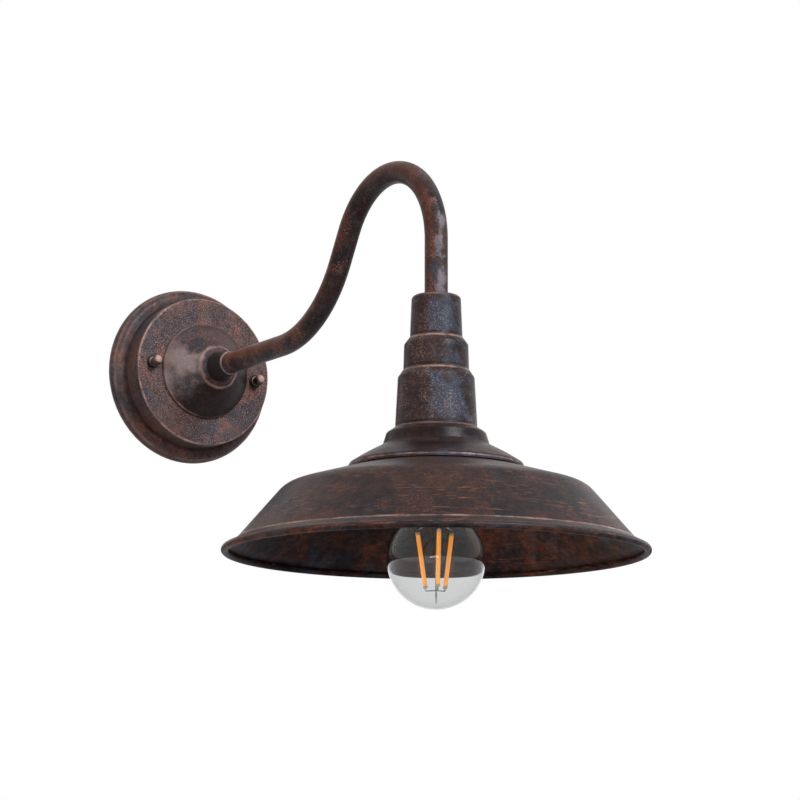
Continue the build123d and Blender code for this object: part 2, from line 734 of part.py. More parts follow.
# ---- bulb --------------------------------------------------------------------------------------------
def bulb_glass():
    """Clear pear-shaped envelope of even wall."""
    centre = bulb_globe_radius - bulb_drop
    leave = radians(glass_leave_angle)
    end = cap_rim + glass_in_cap
    shells = []
    for shrink in (0, glass_wall):
        radius = bulb_globe_radius - shrink
        start = (radius * cos(leave), centre + radius * sin(leave))
        neck = glass_neck_radius - shrink
        corner = (neck, start[1] + (start[0] - neck) / tan(leave))
        low_side = (radius * cos(leave / 2), centre - radius * sin(leave / 2))
        globe = ThreePointArc((0, centre - radius), low_side, start)
        side = FilletPolyline(start, corner, (neck, end), radius=[glass_neck_blend + shrink])
        close = Polyline((neck, end), (0, end), (0, centre - radius))
        shells.append(revolve(Plane.XZ * make_face(globe + side + close), Axis.Z))
    return at_head * (shells[0] - shells[1])


def bulb_cap():
    """Screw cap: thin sheet with a rolled thread, open below for the glass neck."""
    top = tip_height_above_rim - tip_height - insulator_height
    inner = thread_core_radius - cap_sheet
    wide = glass_neck_radius + cap_glass_gap
    band = cap_rim + cap_rim_height
    sheet = turned([(wide, cap_rim), (cap_rim_radius, cap_rim), (cap_rim_radius, band),
                    (thread_core_radius, band + cap_shoulder), (thread_core_radius, top - cap_crown),
                    (thread_core_radius - cap_crown, top), (inner - cap_crown, top),
                    (inner - cap_crown, top - cap_sheet), (inner, top - cap_crown - cap_sheet / 2),
                    (inner, band + cap_shoulder / 2), (wide, band - cap_sheet / 2)])
    ridge = helix_thread(thread_core_radius, thread_crest_radius - thread_core_radius, thread_half_width,
                         thread_start, thread_turns)
    core = rod(thread_core_radius - cap_sheet / 2, cap_rim, top)
    return at_head * (sheet + (ridge - core))


def bulb_insulator():
    top = tip_height_above_rim - tip_height
    bottom = top - insulator_height
    wide = thread_core_radius - cap_sheet - cap_crown
    return at_head * turned([(0, bottom), (wide, bottom), (insulator_top_radius, top), (0, top)])


def bulb_tip():
    top = tip_height_above_rim
    body = rod(tip_radius, top - tip_height, top)
    return at_head * fillet(body.edges().group_by(Axis.Z)[-1], tip_round)


def bulb_stem():
    """Glass mount: flare at the neck, tube and the pinch that the wires come out of."""
    flare = stem_mouth - stem_flare_height
    body = turned([(0, stem_foot), (stem_pinch_radius, stem_foot),
                   (stem_tube_radius, stem_foot + stem_pinch_height),
                   (stem_tube_radius, flare), (stem_flare_radius, stem_mouth),
                   (stem_flare_radius - stem_glass, stem_mouth),
                   (stem_tube_radius - stem_glass, flare + stem_glass), (0, flare + stem_glass)])
    return at_head * body


def filament_end(k, top):
    angle = radians(filament_heading + 360 / filament_count * k)
    circle = filament_top_circle if top else filament_foot_circle
    height = filament_top if top else filament_foot
    return (circle * cos(angle), circle * sin(angle), height)


def bulb_filaments():
    sticks = []
    for k in range(filament_count):
        a, b = Vector(*filament_end(k, False)), Vector(*filament_end(k, True))
        section = Plane(origin=a, z_dir=b - a) * Circle(filament_radius)
        sticks.append(at_head * extrude(section, (b - a).length))
    return sticks


def bulb_leads():
    """Thin wires: one from the stem to each filament's top, and one from each foot to the wire down the middle."""
    wires = []
    for k in range(filament_count):
        x, y, z = filament_end(k, True)
        root = (x * lead_root_share, y * lead_root_share, stem_foot + lead_radius)
        elbow = (x * lead_elbow_share, y * lead_elbow_share, stem_foot - lead_elbow_drop)
        wires.append([root, elbow, (x, y, z + lead_reach), (x, y, z)])
        x, y, z = filament_end(k, False)
        share = (centre_wire_radius + centre_wire_gap) / filament_foot_circle
        wires.append([(x * share, y * share, z - lead_reach), (x, y, z - lead_reach), (x, y, z)])
    bodies = [at_head * bent_rod(points, lead_radius, lead_turn_radius) for points in wires]
    bodies.append(at_head * rod(centre_wire_radius, centre_wire_end, stem_foot + centre_wire_root))
    return bodies


# ---- write every piece -------------------------------------------------------------------------------
pieces = {
    "mounting_strap": mounting_strap(),
    "canopy_studs": canopy_studs(),
    "stud_nuts": stud_nuts(),
    "earth_screw": earth_screw(),
    "earth_lug": earth_lug(),
    "earth_wire": earth_wire(),
    "canopy": canopy(),
    "boss": boss(),
    "arm_collar": arm_collar(),
    "arm": arm(),
    "arm_washer": arm_washer(),
    "arm_nut": arm_nut(),
    "wire_grommet": wire_grommet(),
    "live_wire": supply_wire(-1),
    "neutral_wire": supply_wire(1),
    "wire_connectors": wire_connectors(),
    "left_cap_washer": cap_washer(0),
    "left_cap_nut": cap_nut(0),
    "right_cap_washer": cap_washer(1),
    "right_cap_nut": cap_nut(1),
    "neck_housing": neck_housing(),
    "neck_bush": neck_bush(),
    "neck_set_screw": neck_set_screw(),
    "arm_end_plug": arm_end_plug(),
    "head_nipple": head_nipple(),
    "holder_nut": holder_nut(),
    "lampholder_cap": lampholder_cap(),
    "lampholder_body": lampholder_body(),
    "contact_block": contact_block(),
    "terminal_screws": terminal_screws(),
    "screw_shell": screw_shell(),
    "centre_contact": centre_contact(),
    "shade": shade(),
    "shade_ring": shade_ring(),
    "bulb_glass": bulb_glass(),
    "bulb_cap": bulb_cap(),
    "bulb_insulator": bulb_insulator(),
    "bulb_tip": bulb_tip(),
    "bulb_stem": bulb_stem(),
    "bulb_filaments": bulb_filaments(),
    "bulb_leads": bulb_leads(),
}

os.makedirs("parts", exist_ok=True)
for name, shape in pieces.items():
    whole = Compound(children=shape) if isinstance(shape, list) else shape
    export_step(whole, f"parts/{name}.step")
print("reach", round(reach, 3), "rim z", round(rim_z, 3), "arch top", round(arch_top, 3))
print("stud end", round(stud_end, 3), "cap seat", round(cap_seat, 3), "thread start", round(thread_start, 3))
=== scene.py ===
import bpy
from math import cos, radians, sin
from mathutils import Matrix, Vector

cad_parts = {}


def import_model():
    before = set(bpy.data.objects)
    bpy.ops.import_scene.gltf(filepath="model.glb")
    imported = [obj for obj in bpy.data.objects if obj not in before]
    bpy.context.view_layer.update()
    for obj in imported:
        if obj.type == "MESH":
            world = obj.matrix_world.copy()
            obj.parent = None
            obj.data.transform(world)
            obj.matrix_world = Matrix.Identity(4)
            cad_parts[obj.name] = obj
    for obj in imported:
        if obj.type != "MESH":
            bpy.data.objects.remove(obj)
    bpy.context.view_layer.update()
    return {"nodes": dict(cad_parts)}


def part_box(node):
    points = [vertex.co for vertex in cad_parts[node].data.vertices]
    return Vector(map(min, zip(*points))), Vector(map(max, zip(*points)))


# Gooseneck wall sconce: finish, studio and camera round the fixed frame. The scene is in metres, and the
# materials count in millimetres on the object.

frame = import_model()
NODES = frame["nodes"]

MM = 0.001
HEAD = (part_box("shade")[0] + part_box("shade")[1]) / 2      # axis of neck, shade and bulb
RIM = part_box("shade")[0].z                                # lower edge of the shade

# ---- camera, at the photograph's angle ---------------------------------------------------------------------
CAMERA_PLACE = Vector((-0.80415, -1.49858, -0.33420))
CAMERA_YAW = radians(33.4111)
CAMERA_PITCH = radians(10.6652)
CAMERA_ROLL = radians(0.1780)
CAMERA_LENS = 108.8604
SENSOR = 36.0

# ---- studio ------------------------------------------------------------------------------------------------
FLOOR_Z = -0.75
FLOOR_SIZE = 80.0
FLOOR_TONES = (0.50, 0.53)
FLOOR_WHITE = 0.8            # share of plain white where the camera, a mirror or glass looks at the floor
WORLD_LIGHT = 0.07           # strength of the white world as a light
WORLD_WHITE = 1.0            # its strength where it is looked at
LAMP_AIM = (0.0, HEAD.y * 0.7, RIM * 0.3)      # between canopy and shade
LAMPS = {
    "key": dict(place=(0.30, -1.95, 1.05), aim=LAMP_AIM, size=0.7, watts=46.0, colour=(0.91, 0.95, 1.0)),
    "fill": dict(place=(-1.15, -1.75, 0.10), aim=LAMP_AIM, size=0.6, watts=6.0, colour=(1.0, 0.96, 0.94)),
    "left": dict(place=(-1.6, -0.3, 0.6), aim=LAMP_AIM, size=0.6, watts=1.2, colour=(1.0, 0.88, 0.80)),
}
BEAMS = {                    # spread in degrees; a mirrored beam shows in glossy surfaces
    "shade_beam": dict(place=(-1.65, -0.36, -0.50), aim=(0.05, -0.32, -0.17), size=0.15, watts=0.12,
                       colour=(1.0, 0.76, 0.58), spread=14.0, mirrored=False),
    "wall_beam": dict(place=(-1.25, -0.95, 0.40), aim=(0.02, -0.03, -0.025), size=0.15, watts=0.055,
                      colour=(1.0, 0.95, 0.91), spread=9.0, mirrored=True),
}


# ---- colours -----------------------------------------------------------------------------------------------
def srgb(red, green, blue):
    """Scene colour of a screen colour given in 0 to 255."""
    def linear(c):
        c /= 255
        return c / 12.92 if c <= 0.04045 else ((c + 0.055) / 1.055) ** 2.4
    return (linear(red), linear(green), linear(blue), 1.0)


UNLIT = (0.0, 0.0, 0.0, 1.0)
WHITE = (1.0, 1.0, 1.0, 1.0)
CHARCOAL = srgb(38, 34, 37)
# umber of the paint, also painted as shade on the boss's top
UMBER_AND_SHADE = srgb(62, 46, 42)
RUST = srgb(92, 53, 38)
COPPER = srgb(146, 90, 68)
FLECK = srgb(164, 148, 151)
# pale pink of rubbed edges, also used as a painted highlight along edges and on the nuts' fronts
HIGHLIGHT_AND_WEAR_PINK = srgb(186, 146, 132)
# bluish slate of patches in the paint, also painted as a bluish sheen down the neck's front
SLATE_AND_SHEEN = srgb(55, 60, 73)
# painted shade, in grooves, under edges and on sides that face away from the light
PAINTED_SHADE_COLOUR = srgb(26, 13, 12)
# painted highlight on the boss's left
PAINTED_HIGHLIGHT_GREY = srgb(114, 100, 96)
# painted highlight down the tube's front
PAINTED_HIGHLIGHT_LILAC = srgb(110, 104, 111)
# rust on the tube's upper left, also painted light where the light falls
RUST_AND_PAINTED_LIGHT = srgb(98, 56, 42)

# ---- patterns of the materials -----------------------------------------------------------------------------
PATTERNS = {                 # name: size in mm, detail, roughness and shift of its noise
    "cloud": (34.0, 4.0, 0.6, 0.0),           # charcoal against umber
    "patch": (15.0, 4.0, 0.62, 40.0),         # patches of rust, flecks gather in them
    "grey": (20.0, 3.0, 0.6, 90.0),           # bluish patches
    "mottle": (4.2, 4.0, 0.7, 71.0),          # lighter and darker spots
    "grain": (1.25, 3.0, 0.6, 7.0),           # relief and gloss
    "stroke": (1.5, 3.0, 0.65, 3.0),          # single strokes of the brush
    "long_stroke": (8.0, 3.0, 0.6, 19.0),     # where the brush touched down
    "spot": (0.85, 2.0, 0.7, 55.0),           # metal flecks
    "scratch": (0.9, 2.0, 0.6, 13.0),
    "waver": (4.5, 3.0, 0.6, 31.0),           # uneven edges of the rubbed, highlighted bands and of the painted shade bands
    "wear": (16.0, 3.0, 0.6, 63.0),           # where an edge's wear and painted highlight are strongest
    "satin": (0.8, 3.0, 0.6, 0.0),            # from here on: collar, washers, metal, plastic, glass, floor
    "tip": (3.0, 3.0, 0.5, 0.0),
    "lathe": (0.25, 2.0, 0.5, 0.0),
    "stain": (6.0, 4.0, 0.6, 12.0),
    "moulding": (0.5, 2.0, 0.5, 0.0),
    "haze": (9.0, 4.0, 0.6, 21.0),
    "ripple": (26.0, 1.0, 0.4, 0.0),
    "phosphor": (0.6, 3.0, 0.6, 0.0),
    "floor": (300.0, 2.0, 0.5, 0.0),
}
LEVELS = {                   # name: where a pattern's smooth step begins and ends
    "cloud": (0.38, 0.62),
    "rust": (0.47, 0.66),
    "grey": (0.52, 0.68),
    "mottle": (0.30, 0.70),
    "ragged": (0.2, 0.8),
    "stroke": (0.53, 0.66),
    "long_stroke": (0.46, 0.62),
    "spot": (0.53, 0.63),
    "gathered": (0.42, 0.60),
    "scratch": (0.58, 0.68),
    "scratched": (0.42, 0.60),
    "wear": (0.34, 0.62),
    "grain": (0.3, 0.7),
    "satin": (0.35, 0.7),
    "stain": (0.42, 0.68),
    "haze": (0.4, 0.7),
}
SEED_DRIFT = (1.0, 2.3, -1.4)      # how a paint's seed moves its patterns
SHIFT_DRIFT = (1.0, 1.7, -1.0)     # how a pattern's own shift moves it
HEAD_RUN = 0.14                    # run round neck and shade shortened to this, so that strokes come out long
WALL_RUN = 0.35                    # the same on canopy, boss, tube and nuts
SCRATCH_RUN = 0.12                 # the same along the scratches
SCRATCH_WAY = (0.7, -0.2, 0.75)
LATHE_RUN = 0.3                    # the same along lathe lines
SIDE_RAGGED = 0.3                  # how ragged the edge of a painted side is
SIDE_COVER = 0.9                   # how much of the paint a side covers at most
PLAIN_FADE = 2.0                   # run in mm over which flecks fade towards a plain zone
PLAIN_LEFT = 0.3                   # share of them that stays there
WEAR_LEAST = 0.25                  # strength of an edge's wear and painted highlight where it is weakest
WAVER_REACH = 1.6                  # how far a band's edge wavers, as a share of its width
PAINT_ROUGH = (0.33, 0.46)
SHINE_POLISH = 0.10                # roughness lost on flecks and on rubbed, highlighted edges
PAINTED_SHADE_POLISH = 0.08              # roughness lost in the bands of painted shade
SHINE_METAL = 0.08
PAINT_RELIEF = 0.22                # depth in mm
PAINT_BUMP = 0.6
STROKE_RELIEF = 0.5                # height of the strokes beside the grain's
PAINT_SPECULAR = 0.12

# edges rubbed bare that also carry a painted highlight, and bands of painted shade in grooves and under
# edges: (radius, height, width, strength) in mm
NECK_WEAR_AND_HIGHLIGHT = ((14.6, 156.9, 1.1, 0.4), (16.9, 131.1, 1.2, 0.75), (20.8, 111.1, 1.2, 0.75),
             (26.0, 76.1, 1.2, 0.5), (52.3, 53.4, 0.8, 0.6))
# neck: painted shade in the grooves under its steps, and broad painted shade over its gallery and skirt
NECK_PAINTED_SHADE = ((15.9, 133.1, 1.1, 0.8), (19.8, 113.2, 1.1, 0.8), (24.7, 77.8, 1.1, 0.8),
                 (32.2, 66.4, 1.5, 0.5), (31.0, 70.0, 9.0, 0.95), (42.0, 60.0, 11.0, 0.9))
SHADE_WEAR_AND_HIGHLIGHT = ((119.0, 8.0, 1.2, 0.8),)
# shade: painted shade under its crease
SHADE_PAINTED_SHADE = ((122.4, 5.6, 2.0, 0.8),)
CANOPY_WEAR_AND_HIGHLIGHT = ((51.9, 29.0, 1.2, 0.9), (60.8, 10.2, 2.0, 0.25))
# canopy: painted shade in its groove and under the edge of its face
CANOPY_PAINTED_SHADE = ((53.0, 12.6, 2.2, 0.8), (52.6, 26.4, 1.6, 0.45))
BOSS_WEAR_AND_HIGHLIGHT = ((32.8, 31.8, 1.4, 0.6), (14.2, 49.8, 2.2, 0.7))
# boss: painted shade round its foot
BOSS_PAINTED_SHADE = ((33.4, 29.4, 1.3, 0.7),)
# painted highlight round the collar's chamfered tip
COLLAR_TIP_HIGHLIGHT = ((7.85, 66.7, 1.1, 0.8),)

# sides painted lighter or darker by the way they face, as painted highlights and painted shade: (direction
# they face, low and high of the step towards it, colour, share of flecks it hides)
# boss: painted highlight on its left, painted shade on its top and on its lower right
BOSS_LIGHT_AND_SHADE = (((-0.93, -0.35, 0.0), 0.6, 1.0, PAINTED_HIGHLIGHT_GREY, 0.3),
              ((0.15, -0.35, 0.92), 0.6, 0.95, UMBER_AND_SHADE, 0.5),
              ((0.5, 0.0, -0.85), -0.02, 0.3, PAINTED_SHADE_COLOUR, 0.95))
# tube: rust and painted light on its upper left, painted shade underneath, painted highlight down its front
ARM_LIGHT_AND_SHADE = (((-0.8, 0.2, 0.55), 0.35, 0.85, RUST_AND_PAINTED_LIGHT, 0.2),
             ((0.75, -0.25, -0.6), 0.3, 0.75, PAINTED_SHADE_COLOUR, 0.8),
             ((-0.1, -0.995, 0.0), 0.92, 1.1, PAINTED_HIGHLIGHT_LILAC, 0.0))
# neck: painted bluish sheen down its front
NECK_SHEEN = (((-0.15, -0.98, -0.1), 0.78, 1.0, SLATE_AND_SHEEN, 0.0),)
# cap nuts: painted highlight on their fronts
NUT_HIGHLIGHT = (((0.0, -0.98, 0.2), 0.45, 0.75, HIGHLIGHT_AND_WEAR_PINK, 1.0),)

DOWNWARD = -0.05             # faces of the shade whose normal points below this are its inside
FILAMENT_END = 2.0           # unlit length in mm at each end of a filament
FILAMENT_FADE = 0.4
# strength of the filaments' painted glow, though the bulb is off
FILAMENT_PAINTED_GLOW = 0.7
GLASS_IOR = 1.45
GLASS_SPECULAR = 0.17        # low, because the white world shows in it


# ---- node materials ----------------------------------------------------------------------------------------
class Net:
    """A node material written from the inside out: every call adds one node and gives back its output."""

    def __init__(self, name):
        self.material = bpy.data.materials.new(name)
        self.material.use_nodes = True
        self.nodes = self.material.node_tree.nodes
        self.links = self.material.node_tree.links
        self.shader = self.nodes["Principled BSDF"]

    def put(self, socket, value):
        if isinstance(value, bpy.types.NodeSocket):
            self.links.new(value, socket)
        else:
            socket.default_value = value

    def place(self):
        """Position on the object in millimetres, in the frame's axes."""
        source = self.nodes.new("ShaderNodeTexCoord").outputs["Object"]
        return self.vector("MULTIPLY", source, (1 / MM, 1 / MM, 1 / MM))

    def facing(self):
        """The surface's own direction on the object."""
        return self.nodes.new("ShaderNodeTexCoord").outputs["Normal"]

    def math(self, operation, *values):
        node = self.nodes.new("ShaderNodeMath")
        node.operation = operation
        for socket, value in zip(node.inputs, values):
            self.put(socket, value)
        return node.outputs[0]

    def times(self, first, second):
        return self.math("MULTIPLY", first, second)

    def vector(self, operation, *values):
        node = self.nodes.new("ShaderNodeVectorMath")
        node.operation = operation
        for socket, value in zip(node.inputs, values):
            self.put(socket, value)
        return node.outputs["Value" if operation in ("LENGTH", "DISTANCE", "DOT_PRODUCT") else "Vector"]

    def split(self, vector):
        node = self.nodes.new("ShaderNodeSeparateXYZ")
        self.put(node.inputs[0], vector)
        return node.outputs

    def join(self, x, y, z):
        node = self.nodes.new("ShaderNodeCombineXYZ")
        for socket, value in zip(node.inputs, (x, y, z)):
            self.put(socket, value)
        return node.outputs[0]

    def pattern(self, name, place):
        """Noise of a named pattern."""
        size, detail, rough, shift = PATTERNS[name]
        node = self.nodes.new("ShaderNodeTexNoise")
        drift = tuple(shift * share for share in SHIFT_DRIFT)
        self.put(node.inputs["Vector"], self.vector("ADD", place, drift))
        node.inputs["Scale"].default_value = 1 / size
        node.inputs["Detail"].default_value = detail
        node.inputs["Roughness"].default_value = rough
        return node.outputs["Fac"]

    def step(self, value, low, high, to_low=0.0, to_high=1.0):
        """Smooth step of value from low to high."""
        node = self.nodes.new("ShaderNodeMapRange")
        node.interpolation_type = "SMOOTHSTEP"
        for name, number in (("Value", value), ("From Min", low), ("From Max", high), ("To Min", to_low),
                             ("To Max", to_high)):
            self.put(node.inputs[name], number)
        return node.outputs[0]

    def level(self, name, value, to_low=0.0, to_high=1.0):
        """Smooth step of a pattern between the named levels."""
        low, high = LEVELS[name]
        return self.step(value, low, high, to_low, to_high)

    def mix(self, share, first, second):
        """Colour between two colours; the colour sockets come after those for numbers and vectors."""
        node = self.nodes.new("ShaderNodeMix")
        node.data_type = "RGBA"
        self.put(node.inputs[0], share)
        self.put(node.inputs[6], first)
        self.put(node.inputs[7], second)
        return node.outputs[2]

    def dim(self, colour, share):
        """Colour or vector times a number."""
        node = self.nodes.new("ShaderNodeVectorMath")
        node.operation = "SCALE"
        self.put(node.inputs["Vector"], colour)
        self.put(node.inputs["Scale"], share)
        return node.outputs["Vector"]

    def stretch(self, place, direction, share):
        """The place with its run along a direction shortened, so that noise there becomes strokes."""
        direction = Vector(direction).normalized()
        run = self.vector("DOT_PRODUCT", place, tuple(direction))
        back = self.dim(self.join(*direction), self.times(run, share - 1))
        return self.vector("ADD", place, back)

    def bump(self, height, depth, strength):
        """Relief of depth millimetres."""
        node = self.nodes.new("ShaderNodeBump")
        node.inputs["Strength"].default_value = strength
        node.inputs["Distance"].default_value = depth * MM
        self.put(node.inputs["Height"], height)
        return node.outputs[0]

    def finish(self, **values):
        """The material with values on its shader's sockets, named in small letters."""
        for name, value in values.items():
            self.put(self.shader.inputs[name.replace("_", " ").title().replace("Ior", "IOR")], value)
        return self.material


def round_head(net, place):
    """(radius, height above the rim) about the axis of the neck and shade."""
    local = net.vector("SUBTRACT", place, (HEAD.x / MM, HEAD.y / MM, RIM / MM))
    x, y, z = net.split(local)
    return net.vector("LENGTH", net.join(x, y, 0.0)), z


def round_wall(net, place):
    """(radius, distance from the wall) about the axis of the canopy."""
    x, y, z = net.split(place)
    return net.vector("LENGTH", net.join(x, 0.0, z)), net.times(y, -1.0)


def bands(net, radius, height, circles, waver):
    """How near a point lies to any of the circles, each given as (radius, height, width, strength)."""
    total = None
    spot = net.join(radius, height, 0.0)
    for circle_radius, circle_height, width, strength in circles:
        gap = net.vector("DISTANCE", spot, (circle_radius, circle_height, 0.0))
        gap = net.math("ADD", gap, net.times(net.math("SUBTRACT", waver, 0.5), width * WAVER_REACH))
        near = net.step(gap, 0.0, width, strength, 0.0)
        total = near if total is None else net.math("MAXIMUM", total, near)
    return total


def ground(net, place, patch, mottle, warmth, slate, tone, mottled):
    """Charcoal and umber clouds with patches of rust and slate, lighter and darker in spots."""
    colour = net.mix(net.level("cloud", net.pattern("cloud", place)), CHARCOAL, UMBER_AND_SHADE)
    colour = net.mix(net.times(net.level("rust", patch), warmth), colour, RUST)
    colour = net.mix(net.times(net.level("grey", net.pattern("grey", place)), slate), colour, SLATE_AND_SHEEN)
    return net.dim(colour, net.level("mottle", mottle, (1 - mottled) * tone, (1 + mottled) * tone))


def paint_light_and_shade_sides(net, colour, patch, light_and_shade_sides):
    """The colour with painted highlights and painted shade on the sides that face the given directions, and
    the share of strokes and flecks that they leave.
    """
    uncovered = 1.0
    facing = net.facing()
    for direction, low, high, side_colour, hidden in light_and_shade_sides:
        ragged = net.level("ragged", patch, -SIDE_RAGGED, SIDE_RAGGED)
        turned = net.math("ADD", net.vector("DOT_PRODUCT", facing, direction), ragged)
        turned = net.step(turned, low, high, 0.0, SIDE_COVER)
        colour = net.mix(turned, colour, side_colour)
        uncovered = net.times(uncovered, net.math("SUBTRACT", 1.0, net.times(turned, hidden)))
    return colour, uncovered


def along_brush(net, around, grain_slope, place, radius, height):
    """The place shortened round the object's axis, so that noise there becomes strokes."""
    x, y, z = net.split(place)
    along = net.math("ADD", net.times(radius, grain_slope), height)
    if around is round_head:
        return net.join(net.times(x, HEAD_RUN), net.times(y, HEAD_RUN), along)
    return net.join(net.times(x, WALL_RUN), along, net.times(z, WALL_RUN))


def metal_flecks(net, place, patch, mottle, spread, scratches):
    """Share of metal that shows as flecks, gathered in patches, and as slanted scratches."""
    spotted = net.times(net.level("spot", net.pattern("spot", place)), net.level("gathered", patch, spread))
    if scratches:
        slanted = net.pattern("scratch", net.stretch(place, SCRATCH_WAY, SCRATCH_RUN))
        marks = net.times(net.level("scratch", slanted), scratches)
        spotted = net.math("MAXIMUM", spotted, net.times(marks, net.level("scratched", mottle)))
    return spotted


def bronze(name, around, grain_slope, seed, wear_and_highlight=(), painted_shade=(), streaks=0.5, flecks=0.5, warmth=0.5,
           scratches=0.0, specular=PAINT_SPECULAR, tone=1.0, light_and_shade_sides=(), spread=0.12, slate=0.6, mottled=0.4,
           plain_below=None):
    """Hand-brushed dark paint with copper strokes, metal flecks and rubbed edges, with painted highlights and
    painted shade on edges, grooves and sides.

    around gives radius and height of a point, and grain_slope is how far the strokes' coordinate follows the
    radius. streaks, flecks, warmth, slate, mottled and scratches are the strengths of what they name. tone
    makes the paint darker or lighter. spread is the share of the flecks outside the patches, and only few lie
    below the height plain_below."""
    net = Net(name)
    position = net.place()
    radius, height = around(net, position)
    place = net.vector("ADD", position, tuple(seed * share for share in SEED_DRIFT))
    brush = along_brush(net, around, grain_slope, place, radius, height)
    patch, mottle = net.pattern("patch", place), net.pattern("mottle", place)
    grain, stroke = net.pattern("grain", place), net.pattern("stroke", brush)
    waver = net.pattern("waver", place)

    colour = ground(net, place, patch, mottle, warmth, slate, tone, mottled)
    # sides facing given directions get painted highlights and painted shade
    colour, uncovered = paint_light_and_shade_sides(net, colour, patch, light_and_shade_sides)
    if plain_below is not None:
        plain = net.step(height, plain_below - PLAIN_FADE, plain_below, PLAIN_LEFT, 1.0)
        uncovered = net.times(uncovered, plain)
    touched = net.level("long_stroke", net.pattern("long_stroke", brush))
    brushed = net.times(net.times(net.level("stroke", stroke), touched), net.times(uncovered, streaks))
    colour = net.mix(brushed, colour, COPPER)
    spotted = net.times(metal_flecks(net, place, patch, mottle, spread, scratches),
                        net.times(uncovered, flecks))
    colour = net.mix(spotted, colour, FLECK)
    dark = rubbed_and_lit = 0.0
    # painted shade in grooves and under edges
    if painted_shade:
        dark = bands(net, radius, height, painted_shade, waver)
        colour = net.mix(dark, colour, PAINTED_SHADE_COLOUR)
    # rubbed edges, with a painted highlight along them
    if wear_and_highlight:
        wear = net.level("wear", net.pattern("wear", place), WEAR_LEAST)
        rubbed_and_lit = net.times(bands(net, radius, height, wear_and_highlight, waver), wear)
        colour = net.mix(rubbed_and_lit, colour, HIGHLIGHT_AND_WEAR_PINK)

    shine = net.math("MAXIMUM", spotted, rubbed_and_lit)
    rough = net.math("SUBTRACT", net.level("grain", grain, *PAINT_ROUGH), net.times(shine, SHINE_POLISH))
    rough = net.math("SUBTRACT", rough, net.times(dark, PAINTED_SHADE_POLISH))
    relief = net.math("ADD", grain, net.times(stroke, STROKE_RELIEF))
    return net.finish(base_color=colour, roughness=rough, metallic=net.times(shine, SHINE_METAL),
                      normal=net.bump(relief, PAINT_RELIEF, PAINT_BUMP), specular_ior_level=specular)


def satin_black():
    """Black paint with a fine grain and a painted highlight ring at the collar's tip."""
    net = Net("black_satin")
    place = net.place()
    grain = net.pattern("satin", place)
    colour = net.mix(net.level("satin", grain), srgb(20, 14, 13), srgb(38, 27, 25))
    radius, depth = round_wall(net, place)
    highlight_ring = bands(net, radius, depth, COLLAR_TIP_HIGHLIGHT, net.pattern("tip", place))
    colour = net.mix(highlight_ring, colour, srgb(150, 138, 136))
    return net.finish(base_color=colour, roughness=net.level("grain", grain, 0.34, 0.5),
                      specular_ior_level=0.2, normal=net.bump(grain, 0.05, 0.4))


def metal_part(name, colour, dark, rough):
    """Turned or plated metal with faint lathe lines and stains."""
    net = Net(name)
    place = net.place()
    x, y, z = net.split(place)
    lines = net.pattern("lathe", net.join(net.times(x, LATHE_RUN), y, z))
    stain = net.pattern("stain", place)
    tone = net.mix(net.level("stain", stain), colour, dark)
    return net.finish(base_color=tone, metallic=1.0,
                      roughness=net.level("grain", lines, rough - 0.06, rough + 0.1),
                      normal=net.bump(lines, 0.02, 0.35))


def moulded(name, colour, dark, rough, coat=0.0):
    """Moulded plastic, glazed ceramic or insulation with a faint grain and handling marks."""
    net = Net(name)
    place = net.place()
    grain = net.pattern("moulding", place)
    haze = net.pattern("haze", place)
    tone = net.mix(net.level("haze", haze), colour, dark)
    return net.finish(base_color=tone, roughness=net.level("grain", grain, rough - 0.05, rough + 0.08),
                      coat_weight=coat, normal=net.bump(grain, 0.03, 0.3))


def clear_glass(name, tint):
    """Blown glass, slightly rippled."""
    net = Net(name)
    ripple = net.pattern("ripple", net.place())
    return net.finish(base_color=tint, transmission_weight=1.0, roughness=0.0, ior=GLASS_IOR,
                      specular_ior_level=GLASS_SPECULAR, normal=net.bump(ripple, 0.25, 0.25))


def phosphor():
    """Yellow filaments with a painted glow, though the bulb is off, and pale ends without it."""
    net = Net("filament_phosphor")
    place = net.place()
    grain = net.pattern("phosphor", place)
    tone = net.mix(net.level("grain", grain), srgb(232, 150, 62), srgb(247, 178, 98))
    x, y, z = net.split(place)
    low, high = (corner.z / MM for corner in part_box("bulb_filaments"))
    inset = net.math("MINIMUM", net.math("SUBTRACT", z, low), net.math("SUBTRACT", high, z))
    lit = net.step(inset, FILAMENT_END - FILAMENT_FADE, FILAMENT_END)
    tone = net.mix(lit, srgb(226, 212, 194), tone)
    return net.finish(base_color=tone, roughness=0.5, emission_color=net.mix(lit, UNLIT, srgb(255, 165, 75)),
                      emission_strength=FILAMENT_PAINTED_GLOW, normal=net.bump(grain, 0.04, 0.4))


# ---- the nodes' finishes -----------------------------------------------------------------------------------
def dress(material, *nodes):
    """The nodes' own meshes in the given material."""
    for node in nodes:
        mesh = NODES[node].data
        mesh.materials.clear()
        mesh.materials.append(material)


def dress_inside(material, node):
    """The node's downward faces in a second material."""
    mesh = NODES[node].data
    mesh.materials.append(material)
    for face in mesh.polygons:
        face.material_index = 1 if face.normal.z < DOWNWARD else 0


